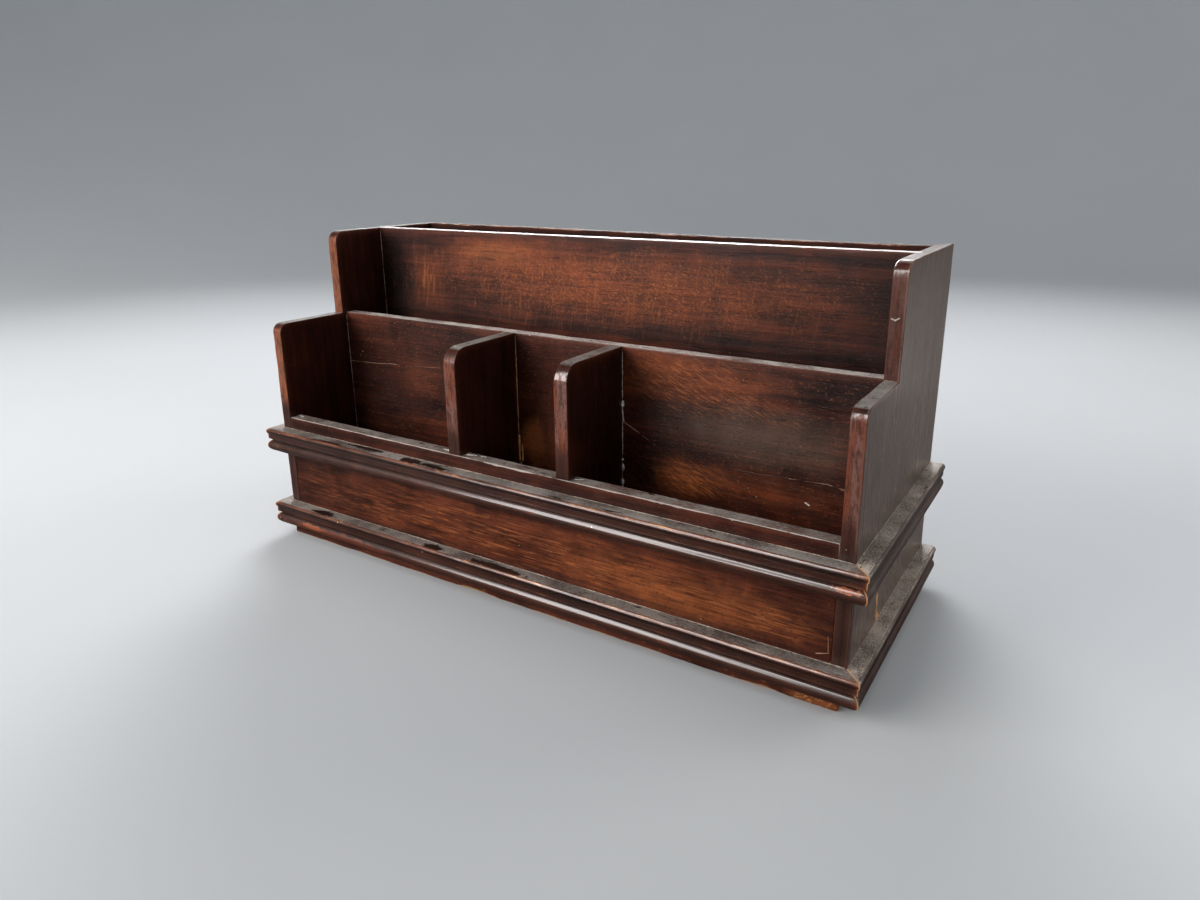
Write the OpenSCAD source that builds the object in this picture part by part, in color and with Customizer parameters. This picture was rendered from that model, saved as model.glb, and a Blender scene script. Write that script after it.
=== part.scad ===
// Desk organizer: a wooden letter rack on a box base with two applied mouldings.
// Millimetres. X runs to the right, Y to the back, Z up; the front looks along -Y.
// Z = 0 is the underside of the base board, and X = Y = 0 is the middle of the footprint.
// The helper modules count Y from the front of the boards; from_front moves them into place.

/* [Overall] */
// Width over the two end boards
case_w = 410; // [300:5:520]
// Depth from the front face to the back face
case_d = 162; // [140:1:220]
// Height of the end boards at the back
case_h = 214; // [180:1:280]

/* [Boards] */
// Thickness of the end boards
end_t = 8; // [6:0.5:14]
// Thickness of the boards that run across
cross_t = 9; // [6:0.5:14]
// Thickness of the two dividers
divider_t = 9; // [6:0.5:14]
// Thickness of the base board
base_t = 7; // [5:0.5:12]

/* [Front tier] */
// Height of the step in the end boards
step_h = 155; // [120:1:175]
// Distance from the front to the tall part of the end boards
step_y = 55; // [40:1:80]
// Height of the front board above the upper moulding
lip_h = 8.5; // [4:0.5:20]
// Radius of the front corner of the step
step_r = 6.5; // [2:0.5:12]
// Radius of the front corner of the tall part
top_r = 8; // [2:0.5:14]
// Radius of the front corner of the dividers
divider_r = 10; // [3:0.5:16]
// Centre of the left divider, measured from the middle
left_divider_x = -42.5; // [-120:0.5:-20]
// Centre of the right divider, measured from the middle
right_divider_x = 38.5; // [20:0.5:120]

/* [Letter slots] */
// Gap between the tall part of the end boards and the middle board
middle_set = 3.5; // [1:0.5:10]
// Clear depth of the slot behind the middle board
slot_d = 31; // [20:1:50]

/* [Mouldings] */
// Height of each moulding
mould_h = 17; // [12:0.5:24]
// How far each moulding stands out
mould_out = 9; // [6:0.5:14]
// Height of the plain panel between the two mouldings
panel_h = 39; // [25:1:70]
// Radius of the round nose
nose_r = 2.2; // [1:0.1:3.5]
// Radius of the bead
bead_r = 4.1; // [2.5:0.1:5]
// Height of the narrow groove above the bead
quirk_h = 0.9; // [0.5:0.1:1.5]

/* [Joints] */
// Depth of the grooves in the end boards
groove_d = 3; // [2:0.5:4]
// Depth of the rebate that takes the back board
rebate_d = 4; // [2:0.5:5]
// Clearance on each side of a board in its groove
joint_gap = 0.1; // [0.05:0.05:0.3]
// How far the base board stands in front of the boards
base_out = 2.5; // [0:0.5:5]
// How far the base board is set in at the ends and the back
base_in = 2.5; // [0:0.5:5]

/* [Fasteners] */
// Diameter of the base nails
nail_d = 1.8; // [1.2:0.1:2.4]
// Diameter of the base nail heads
nail_head_d = 4.2; // [3:0.1:6]
// Length of the base nails
nail_l = 24; // [16:1:34]
// Diameter of the moulding pins
pin_d = 1.2; // [0.8:0.1:1.8]
// Length of the moulding pins
pin_l = 10; // [8:0.5:13]

/* [Hidden] */
$fn = 64;
half_w = case_w / 2;
front_y = (mould_out - case_d) / 2;
inner_w = case_w - 2 * end_t;
low_mould_z = base_t;
up_mould_z = base_t + mould_h + panel_h;
rim_z = up_mould_z + mould_h;
front_h = rim_z + lip_h;
middle_y = step_y + middle_set;
tall_y = middle_y + cross_t + slot_d;
back_y = case_d - cross_t;
bead_v = bead_r + 0.1;
bead_u = mould_out - bead_r;
face_v = bead_v + bead_r + quirk_h;
face_u = mould_out - 0.8;
quirk_u = mould_out - 2.6;
pin_v = face_v - quirk_h / 2;
pin_end = quirk_u - 0.4;
nail_head_t = 0.8;
nail_sink = 0.3;
nail_edge = nail_head_d / 2 + 0.9;
nail_x = half_w - base_in - nail_edge;
nail_back_y = case_d - base_in - nail_edge;
nail_end_y = [0.26 * case_d, 0.52 * case_d, 0.9 * case_d];
nail_row_x = [-0.31 * case_w, 0, 0.31 * case_w];
pin_row_x = [-0.43 * case_w, -0.15 * case_w, 0.15 * case_w, 0.43 * case_w];
pin_side_y = [0.16 * case_d, 0.8 * case_d];

// Moves a shape from the front of the boards to the middle of the footprint.
module from_front() {
  translate([0, front_y, 0])
    children();
}

// Places a shape drawn in depth and height so that it is thick along X from x0.
module board_across_x(x0, thick) {
  translate([x0, 0, 0])
    rotate([90, 0, 90])
      linear_extrude(thick)
        children();
}

// Outline of a box with one rounded front top corner, in depth and height.
module rounded_front(y0, y1, z0, z1, r) {
  translate([y0 + r, z0])
    square([y1 - y0 - r, z1 - z0]);
  translate([y0, z0])
    square([y1 - y0, z1 - z0 - r]);
  translate([y0 + r, z1 - r])
    circle(r);
}

// One nail under the base, its head set just inside the wood.
module base_nail(x, y, grow = 0) {
  translate([x, y, nail_sink - grow])
    cylinder(d = nail_head_d, h = nail_head_t + grow);
  translate([x, y, nail_sink])
    cylinder(d = nail_d, h = nail_l);
}

// All the base nails, or the holes they fill when grow is more than nothing.
module nail_set(grow = 0) {
  for (y = nail_end_y) {
    base_nail(-nail_x, y, grow);
    base_nail(nail_x, y, grow);
  }
  for (x = nail_row_x) {
    base_nail(x, cross_t / 2, grow);
    base_nail(x, nail_back_y, grow);
  }
}

// One pin, its outer end at the bottom of the groove above the bead.
module pin_along(dir, grow = 0) {
  rotate(dir)
    translate([0, 0, -pin_end - grow])
      cylinder(d = pin_d, h = pin_l + grow);
}

// The pins of both mouldings, or their holes when grow is more than nothing.
module pin_set(grow = 0) {
  for (z = [low_mould_z + pin_v, up_mould_z + pin_v]) {
    for (x = pin_row_x)
      translate([x, 0, z])
        pin_along([-90, 0, 0], grow);
    for (y = pin_side_y) {
      translate([half_w, y, z])
        pin_along([0, -90, 0], grow);
      translate([-half_w, y, z])
        pin_along([0, 90, 0], grow);
    }
  }
}

// Section of the moulding: out from the board along X, up along Y.
module mould_section() {
  difference() {
    union() {
      square([bead_u, mould_h]);
      translate([bead_u, bead_v])
        circle(bead_r);
      square([quirk_u, mould_h]);
      translate([0, face_v])
        square([face_u, mould_h - face_v - nose_r]);
      translate([0, mould_h - 2 * nose_r])
        square([mould_out - nose_r, 2 * nose_r]);
      translate([mould_out - nose_r, mould_h - nose_r])
        circle(nose_r);
    }
    translate([-mould_out, -1])
      square([mould_out, mould_h + 2]);
  }
}

// Front run of moulding with both ends mitred, its bottom at height z0.
module mould_front(z0) {
  reach = mould_out + 2;
  intersection() {
    translate([-half_w - reach, 0, z0])
      rotate([90, 0, 90])
        mirror([1, 0, 0])
          linear_extrude(case_w + 2 * reach)
            mould_section();
    translate([0, 0, z0 - 1])
      linear_extrude(mould_h + 2)
        polygon([[-half_w, 0], [half_w, 0], [half_w + reach, -reach], [-half_w - reach, -reach]]);
  }
}

// Right run of moulding: mitred in front, cut square at the back.
module mould_right(z0) {
  reach = mould_out + 2;
  intersection() {
    translate([half_w, case_d, z0])
      rotate([90, 0, 0])
        linear_extrude(case_d + reach)
          mould_section();
    translate([0, 0, z0 - 1])
      linear_extrude(mould_h + 2)
        polygon([[half_w, 0], [half_w, case_d], [half_w + reach, case_d], [half_w + reach, -reach]]);
  }
}

// Left run of moulding, the mirror image of the right one.
module mould_left(z0) {
  mirror([1, 0, 0])
    mould_right(z0);
}

// Bottom of the box: it shows as a thin strip below the lower moulding.
module base_board() {
  color("#33190f")
    from_front()
      difference() {
        translate([-half_w + base_in, -base_out, 0])
          cube([case_w - 2 * base_in, case_d + base_out - base_in, base_t]);
        nail_set(1);
      }
}

// Front of the box between the end boards; its top edge is the low lip.
module front_board() {
  color("#4a2214")
    from_front()
      difference() {
        translate([-inner_w / 2, 0, base_t])
          cube([inner_w, cross_t, front_h - base_t]);
        nail_set();
        pin_set();
      }
}

// Stepped right end board with its grooves and rebate on the inner face.
module right_end_board() {
  color("#54281a")
    from_front()
      difference() {
        board_across_x(half_w - end_t, end_t) {
          rounded_front(0, case_d, base_t, step_h, step_r);
          rounded_front(step_y, case_d, base_t, case_h, top_r);
        }
        translate([half_w - end_t - 1, middle_y - joint_gap, base_t - 1])
          cube([groove_d + 1, cross_t + 2 * joint_gap, step_h - base_t + 1 + joint_gap]);
        translate([half_w - end_t - 1, tall_y - joint_gap, base_t - 1])
          cube([groove_d + 1, cross_t + 2 * joint_gap, case_h]);
        translate([half_w - end_t - 1, back_y, base_t - 1])
          cube([rebate_d + 1, cross_t + 1, case_h]);
        nail_set();
        pin_set();
      }
}

// Stepped left end board, the mirror image of the right one.
module left_end_board() {
  mirror([1, 0, 0])
    right_end_board();
}

// Board behind the front tier, its top level with the step.
module middle_board() {
  wide = inner_w + 2 * groove_d;
  color("#5a2b1b")
    from_front()
      translate([-wide / 2, middle_y, base_t])
        cube([wide, cross_t, step_h - base_t]);
}

// Tall board that the front tier of letters leans on.
module tall_board() {
  wide = inner_w + 2 * groove_d;
  color("#643020")
    from_front()
      translate([-wide / 2, tall_y, base_t])
        cube([wide, cross_t, case_h - base_t]);
}

// Back of the box, seated in the rebates of the end boards.
module back_board() {
  wide = inner_w + 2 * rebate_d;
  color("#54281a")
    from_front()
      difference() {
        translate([-wide / 2, back_y, base_t])
          cube([wide, cross_t, case_h - base_t]);
        nail_set();
      }
}

// Divider of the front tier, notched over the front board.
module divider(x) {
  color("#6b3524")
    from_front()
      board_across_x(x - divider_t / 2, divider_t)
        difference() {
          rounded_front(0, middle_y, base_t, step_h, divider_r);
          translate([-1, base_t - 1])
            square([cross_t + 1, front_h - base_t + 1]);
        }
}

module left_divider() {
  divider(left_divider_x);
}

module right_divider() {
  divider(right_divider_x);
}

// The six runs of moulding, each with the holes of its pins.
module upper_moulding_front() {
  color("#3d1c12")
    from_front()
      difference() {
        mould_front(up_mould_z);
        pin_set(1);
      }
}

module upper_moulding_left() {
  color("#3d1c12")
    from_front()
      difference() {
        mould_left(up_mould_z);
        pin_set(1);
      }
}

module upper_moulding_right() {
  color("#3d1c12")
    from_front()
      difference() {
        mould_right(up_mould_z);
        pin_set(1);
      }
}

module lower_moulding_front() {
  color("#3a1a11")
    from_front()
      difference() {
        mould_front(low_mould_z);
        pin_set(1);
      }
}

module lower_moulding_left() {
  color("#3a1a11")
    from_front()
      difference() {
        mould_left(low_mould_z);
        pin_set(1);
      }
}

module lower_moulding_right() {
  color("#3a1a11")
    from_front()
      difference() {
        mould_right(low_mould_z);
        pin_set(1);
      }
}

// Nails driven up through the base into the boards that stand on it.
module base_nails() {
  color("#6f6a64")
    from_front()
      nail_set();
}

// Headless pins that hold the mouldings to the box.
module moulding_pins() {
  color("#6f6a64")
    from_front()
      pin_set();
}

base_board();
front_board();
left_end_board();
right_end_board();
middle_board();
tall_board();
back_board();
left_divider();
right_divider();
upper_moulding_front();
upper_moulding_left();
upper_moulding_right();
lower_moulding_front();
lower_moulding_left();
lower_moulding_right();
base_nails();
moulding_pins();
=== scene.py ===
import bpy, bmesh, math, random
from mathutils import Matrix, Vector, noise


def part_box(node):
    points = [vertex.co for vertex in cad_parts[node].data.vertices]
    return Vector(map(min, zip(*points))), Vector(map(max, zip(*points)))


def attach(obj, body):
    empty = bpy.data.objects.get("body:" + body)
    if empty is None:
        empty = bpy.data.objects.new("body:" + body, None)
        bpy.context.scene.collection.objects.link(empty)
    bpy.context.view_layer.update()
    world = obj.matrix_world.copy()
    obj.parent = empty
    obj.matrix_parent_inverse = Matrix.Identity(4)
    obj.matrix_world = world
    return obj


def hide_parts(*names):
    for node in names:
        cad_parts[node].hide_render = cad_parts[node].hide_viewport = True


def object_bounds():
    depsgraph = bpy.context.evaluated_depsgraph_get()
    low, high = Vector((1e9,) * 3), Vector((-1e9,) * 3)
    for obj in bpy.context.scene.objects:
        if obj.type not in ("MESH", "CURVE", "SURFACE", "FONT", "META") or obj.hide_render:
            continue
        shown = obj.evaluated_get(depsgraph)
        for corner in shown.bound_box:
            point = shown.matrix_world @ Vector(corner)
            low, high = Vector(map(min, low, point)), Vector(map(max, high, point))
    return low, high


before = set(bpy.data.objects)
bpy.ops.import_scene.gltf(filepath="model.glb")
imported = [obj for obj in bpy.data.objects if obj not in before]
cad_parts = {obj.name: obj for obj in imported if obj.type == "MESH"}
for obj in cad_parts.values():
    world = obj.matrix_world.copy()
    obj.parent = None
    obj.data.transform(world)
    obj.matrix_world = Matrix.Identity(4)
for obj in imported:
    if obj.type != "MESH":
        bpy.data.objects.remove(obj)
cadLow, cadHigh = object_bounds()
scene = bpy.context.scene
mm = 0.001
print("frame loaded:", len(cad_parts), "parts")

# camera: as the rack was seen, from its right front and a little above
view = {
    "place": (0.29329, -0.43198, 0.25961),
    "right": (0.84842748, 0.52926985, -0.00665053),
    "up": (-0.14400267, 0.24289256, 0.95930518),
    "ahead": (-0.50934668, 0.81294319, -0.28229299),
    "lens": 24.819,
    "shift": (-0.00819, -0.0358),
}
cameraData = bpy.data.cameras.new("camera")
cameraData.lens, cameraData.sensor_width = view["lens"], 36
cameraData.shift_x, cameraData.shift_y = view["shift"]
cameraData.clip_start, cameraData.clip_end = 0.01, 30
camera = bpy.data.objects.new("camera", cameraData)
turn = Matrix((view["right"], view["up"], [-a for a in view["ahead"]])).transposed()
camera.matrix_world = Matrix.Translation(view["place"]) @ turn.to_4x4()
scene.collection.objects.link(camera)
scene.camera = camera
scene.view_settings.view_transform = "Standard"


# small node helpers
def plug(tree, made, socket, value):
    if isinstance(value, bpy.types.NodeSocket):
        tree.links.new(value, made.inputs[socket])
    elif value is not None:
        made.inputs[socket].default_value = value


def maths(tree, kind, a, b=None, c=None, clamp=False):
    made = tree.nodes.new("ShaderNodeMath")
    made.operation, made.use_clamp = kind, clamp
    for i, value in enumerate((a, b, c)):
        plug(tree, made, i, value)
    return made.outputs[0]


def times(tree, a, b, clamp=False):
    return maths(tree, "MULTIPLY", a, b, clamp=clamp)


def plus(tree, a, b):
    return maths(tree, "ADD", a, b)


def minus(tree, a, b):
    return maths(tree, "SUBTRACT", a, b)


def vectorMaths(tree, kind, a, b=None, out=0):
    made = tree.nodes.new("ShaderNodeVectorMath")
    made.operation = kind
    plug(tree, made, 0, a)
    plug(tree, made, 1, b)
    return made.outputs[out]


def mixColour(tree, factor, a, b):
    made = tree.nodes.new("ShaderNodeMix")
    made.data_type = "RGBA"
    plug(tree, made, 0, factor)
    plug(tree, made, 6, rgb(a))
    plug(tree, made, 7, rgb(b))
    return made.outputs[2]


def mixValue(tree, factor, a, b):
    made = tree.nodes.new("ShaderNodeMix")
    for i, value in ((0, factor), (2, a), (3, b)):
        plug(tree, made, i, value)
    return made.outputs[0]


def span(tree, value, low, high, toLow=0.0, toHigh=1.0):
    made = tree.nodes.new("ShaderNodeMapRange")
    made.interpolation_type = "SMOOTHSTEP"
    for i, v in enumerate((value, low, high, toLow, toHigh)):
        plug(tree, made, i, v)
    return made.outputs[0]


def cloud(tree, vector, scale, detail=2.0, rough=0.5, twist=0.0):
    made = tree.nodes.new("ShaderNodeTexNoise")
    for label, value in (
        ("Vector", vector), ("Scale", scale), ("Detail", detail), ("Roughness", rough), ("Distortion", twist)):
        plug(tree, made, label, value)
    return made.outputs[0]


def stretch(tree, vector, scale=(1, 1, 1), turned=(0, 0, 0), shift=(0, 0, 0)):
    made = tree.nodes.new("ShaderNodeMapping")
    for label, value in (("Vector", vector), ("Scale", scale), ("Rotation", turned), ("Location", shift)):
        plug(tree, made, label, value)
    return made.outputs[0]


def rgb(value):
    return (*value, 1.0) if isinstance(value, tuple) and len(value) == 3 else value


def newGroup(label, takes, gives):
    group = bpy.data.node_groups.new(label, "ShaderNodeTree")
    for name, kind, value in takes:
        socket = group.interface.new_socket(name=name, in_out="INPUT", socket_type="NodeSocket" + kind)
        if value is not None:
            socket.default_value = value
    for name in gives:
        group.interface.new_socket(name=name, in_out="OUTPUT", socket_type="NodeSocketFloat")
    return group, group.nodes.new("NodeGroupInput").outputs, group.nodes.new("NodeGroupOutput")


def useGroup(tree, group, **values):
    made = tree.nodes.new("ShaderNodeGroup")
    made.node_tree = group
    for label, value in values.items():
        plug(tree, made, label, value)
    return made.outputs


def newMaterial(label):
    # a material with its tree, its shader and the piece's own coordinates
    material = bpy.data.materials.new(label)
    material.use_nodes = True
    tree = material.node_tree
    return material, tree, tree.nodes["Principled BSDF"], tree.nodes.new("ShaderNodeTexCoord").outputs["Object"]


def axesOf(tree, vector):
    made = tree.nodes.new("ShaderNodeSeparateXYZ")
    plug(tree, made, 0, vector)
    return made.outputs


def facing(tree):
    return axesOf(tree, tree.nodes.new("ShaderNodeNewGeometry").outputs["Normal"])


def bumped(tree, height, strength, distance, normal=None):
    made = tree.nodes.new("ShaderNodeBump")
    for label, value in (("Height", height), ("Strength", strength), ("Distance", distance), ("Normal", normal)):
        plug(tree, made, label, value)
    return made.outputs[0]


# effects shared by the finishes; every vector is in metres with the grain along X
def makeWoodGrain():
    tree, take, give = newGroup(
        "woodGrain", [("Vector", "Vector", None), ("Seed", "Float", 0.0)], ["Bands", "Streaks", "Pores", "Mottle"])
    shift = tree.nodes.new("ShaderNodeCombineXYZ")
    for i in range(3):
        plug(tree, shift, i, times(tree, take["Seed"], 1.7 + i))
    placed = vectorMaths(tree, "ADD", take["Vector"], shift.outputs[0])
    wavy = tree.nodes.new("ShaderNodeTexNoise")
    plug(tree, wavy, "Vector", stretch(tree, placed, (9, 22, 22)))
    plug(tree, wavy, "Scale", 1.0)
    swirl = vectorMaths(tree, "SCALE", wavy.outputs[1], None)
    plug(tree, swirl.node, "Scale", 0.006)
    placed = vectorMaths(tree, "ADD", placed, swirl)
    bands = cloud(tree, stretch(tree, placed, (5, 75, 75)), 1.0, 3.0, 0.55, 0.4)
    plug(tree, give, "Bands", span(tree, bands, 0.34, 0.66))
    streaks = cloud(tree, stretch(tree, placed, (14, 420, 420)), 1.0, 4.0, 0.6, 0.2)
    plug(tree, give, "Streaks", span(tree, streaks, 0.36, 0.66))
    pores = cloud(tree, stretch(tree, placed, (95, 1900, 1900)), 1.0, 1.0, 0.5)
    plug(tree, give, "Pores", span(tree, pores, 0.6, 0.72))
    plug(tree, give, "Mottle", span(tree, cloud(tree, placed, 38.0, 4.0, 0.6, 0.6), 0.3, 0.7))
    return tree


def makeStrokes():
    takes = [
        ("Vector", "Vector", None), ("Turned", "Vector", (0, 0, 0)), ("Scale", "Vector", (100, 700, 700)),
        ("Cover", "Float", 0.5)]
    tree, take, give = newGroup("strokes", takes, ["Mask"])
    made = stretch(tree, take["Vector"])
    plug(tree, made.node, "Rotation", take["Turned"])
    laid = vectorMaths(tree, "MULTIPLY", made, take["Scale"])
    edge = minus(tree, 0.72, times(tree, take["Cover"], 0.36))
    plug(tree, give, "Mask", span(tree, cloud(tree, laid, 1.0, 3.0, 0.55, 0.3), edge, plus(tree, edge, 0.12)))
    return tree


def makePatch():
    # a rubbed or stained place: an ellipse at power 2, close to a rounded box at power 6
    takes = [
        ("Vector", "Vector", None), ("Centre", "Vector", (0, 0, 0)), ("Size", "Vector", (0.1, 0.1, 0.1)),
        ("Power", "Float", 2.0), ("Soft", "Float", 0.5), ("Ragged", "Float", 0.4), ("Grain", "Float", 55.0)]
    tree, take, give = newGroup("patch", takes, ["Mask"])
    off = vectorMaths(tree, "DIVIDE", vectorMaths(tree, "SUBTRACT", take["Vector"], take["Centre"]), take["Size"])
    total = None
    for part in axesOf(tree, vectorMaths(tree, "ABSOLUTE", off)):
        grown = maths(tree, "POWER", part, take["Power"])
        total = grown if total is None else plus(tree, total, grown)
    far = maths(tree, "POWER", total, maths(tree, "DIVIDE", 1.0, take["Power"]))
    ragged = minus(tree, cloud(tree, take["Vector"], take["Grain"], 4.0, 0.6, 0.5), 0.5)
    far = plus(tree, far, times(tree, ragged, times(tree, take["Ragged"], 2.0)))
    low = minus(tree, 1.0, take["Soft"])
    inside = span(tree, far, low, plus(tree, 1.0, times(tree, take["Soft"], 0.4)), 1.0, 0.0)
    plug(tree, give, "Mask", inside)
    return tree


def makeEdgeWear():
    # edgeWear is 1 on the arrises and falls away over the next few millimetres
    tree, take, give = newGroup("edgeWear", [("Vector", "Vector", None), ("Amount", "Float", 0.5)], ["Line", "Rub"])
    near = tree.nodes.new("ShaderNodeAttribute")
    near.attribute_name = "edgeWear"
    broken = cloud(tree, take["Vector"], 190.0, 5.0, 0.7)
    wide = cloud(tree, take["Vector"], 34.0, 3.0, 0.6)
    need = minus(tree, 1.5, times(tree, take["Amount"], plus(tree, times(tree, broken, 0.7), times(tree, wide, 0.9))))
    plug(tree, give, "Line", span(tree, near.outputs["Fac"], need, plus(tree, need, 0.16)))
    plug(tree, give, "Rub", times(tree, near.outputs["Fac"], span(tree, wide, 0.3, 0.65, 0.25, 1.0)))
    return tree


def makeTopDust():
    # lies only on faces that look up, with bare blots where it was wiped or spilt on
    tree, take, give = newGroup(
        "topDust", [("Vector", "Vector", None), ("Amount", "Float", 0.6)], ["Dust", "Blots", "Up"])
    up = span(tree, facing(tree)[2], 0.84, 0.98)
    fine = cloud(tree, stretch(tree, take["Vector"], (480, 1500, 1500)), 1.0, 4.0, 0.8)
    patchy = cloud(tree, take["Vector"], 42.0, 4.0, 0.6, 0.4)
    amount = times(
        tree, take["Amount"],
        span(tree, plus(tree, times(tree, patchy, 0.5), times(tree, fine, 0.7)), 0.46, 0.72, 0.12, 1.0), clamp=True)
    blots = times(
        tree,
        span(
            tree, cloud(tree, stretch(tree, take["Vector"], (42, 210, 210), shift=(3, 1, 7)), 1.0, 4.0, 0.6, 0.5),
            0.63, 0.67),
        up)
    plug(tree, give, "Dust", times(tree, times(tree, amount, up), minus(tree, 1.0, blots)))
    plug(tree, give, "Blots", blots)
    plug(tree, give, "Up", up)
    return tree


def makeSpecks():
    takes = [("Vector", "Vector", None), ("Scale", "Float", 120.0), ("Share", "Float", 0.06), ("Size", "Float", 0.1)]
    tree, take, give = newGroup("specks", takes, ["Mask"])
    cells = tree.nodes.new("ShaderNodeTexVoronoi")
    plug(tree, cells, "Vector", take["Vector"])
    plug(tree, cells, "Scale", take["Scale"])
    pick = tree.nodes.new("ShaderNodeSeparateColor")
    plug(tree, pick, 0, cells.outputs["Color"])
    chosen = maths(tree, "LESS_THAN", pick.outputs[0], take["Share"])
    reach = times(tree, take["Size"], plus(tree, pick.outputs[1], 0.35))
    dot = maths(tree, "LESS_THAN", cells.outputs["Distance"], reach)
    plug(tree, give, "Mask", times(tree, chosen, dot))
    return tree


def makeFineLine():
    # a crack or scratch between two points, thinning and wandering along its length
    takes = [
        ("Vector", "Vector", None), ("Start", "Vector", (0, 0, 0)), ("End", "Vector", (0.1, 0, 0)),
        ("Width", "Float", 0.0003), ("Gaps", "Float", 0.2), ("Sway", "Vector", (0.004, 0.0, 0.004))]
    tree, take, give = newGroup("fineLine", takes, ["Mask"])
    along = vectorMaths(tree, "SUBTRACT", take["End"], take["Start"])
    out = vectorMaths(tree, "SUBTRACT", take["Vector"], take["Start"])
    share = maths(
        tree, "DIVIDE", vectorMaths(tree, "DOT_PRODUCT", out, along, 1),
        vectorMaths(tree, "DOT_PRODUCT", along, along, 1), clamp=True)
    foot = vectorMaths(tree, "SCALE", along)
    plug(tree, foot.node, "Scale", share)
    wander = tree.nodes.new("ShaderNodeTexNoise")
    plug(tree, wander, "Vector", take["Vector"])
    plug(tree, wander, "Scale", 60.0)
    sway = vectorMaths(
        tree, "MULTIPLY", vectorMaths(tree, "SUBTRACT", wander.outputs[1], (0.5, 0.5, 0.5)), take["Sway"])
    gap = vectorMaths(tree, "LENGTH", vectorMaths(tree, "ADD", vectorMaths(tree, "SUBTRACT", out, foot), sway), out=1)
    thick = times(tree, take["Width"], span(tree, cloud(tree, take["Vector"], 140.0, 2.0), 0.3, 0.6, 0.4, 1.3))
    line = span(tree, gap, times(tree, thick, 0.6), times(tree, thick, 1.4), 1.0, 0.0)
    kept = span(
        tree, cloud(tree, take["Vector"], 95.0, 2.0, 0.6), times(tree, take["Gaps"], 0.9),
        plus(tree, times(tree, take["Gaps"], 0.9), 0.12))
    plug(tree, give, "Mask", times(tree, line, kept))
    return tree


woodGrain, strokes, patch, edgeWear = makeWoodGrain(), makeStrokes(), makePatch(), makeEdgeWear()
topDust, specks, fineLine = makeTopDust(), makeSpecks(), makeFineLine()
print("effects built")

# colours of the old stain and what shows through it, and colours that paint sheen and shade
stainAndPaintedLight = {
    "black": (0.0050, 0.0018, 0.0014),
    "brown": (0.034, 0.0078, 0.0042),
    "red": (0.095, 0.021, 0.0085),
    "rubbed": (0.255, 0.060, 0.018),
    "orange": (0.46, 0.135, 0.036),
    "edge": (0.150, 0.046, 0.026),
    # the worn nose of the mouldings, also a painted highlight line along it
    "nose": (0.32, 0.095, 0.038),
    "pale": (0.44, 0.25, 0.16),
    "dust": (0.270, 0.240, 0.212),
    # dust on the top edges, lightened to paint the sheen of the light behind; the middle one lighter still, painted
    # light where the tall board shades it
    "topEdgeDustAndSheen": (0.44, 0.38, 0.34),
    "midEdgeDustAndSheen": (0.60, 0.54, 0.49),
    "endTop": (0.27, 0.245, 0.22),
    "film": (0.105, 0.070, 0.052),
    # the outer faces: a dust film with a painted sheen
    "outer": (0.205, 0.163, 0.136),
    "handPale": (0.190, 0.092, 0.074),
    "handRed": (0.180, 0.048, 0.022),
    # pale dust on the right side, lightened to paint its sheen
    "sideDustAndSheen": (0.480, 0.405, 0.345),
    "bare": (0.55, 0.26, 0.095),
    "amber": (0.33, 0.080, 0.014),
    "speck": (0.62, 0.58, 0.50),
}


def placeMask(tree, place, spot, **values):
    return useGroup(tree, patch, Vector=place, Centre=spot["at"], Size=spot["size"], **values)[0]


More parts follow.
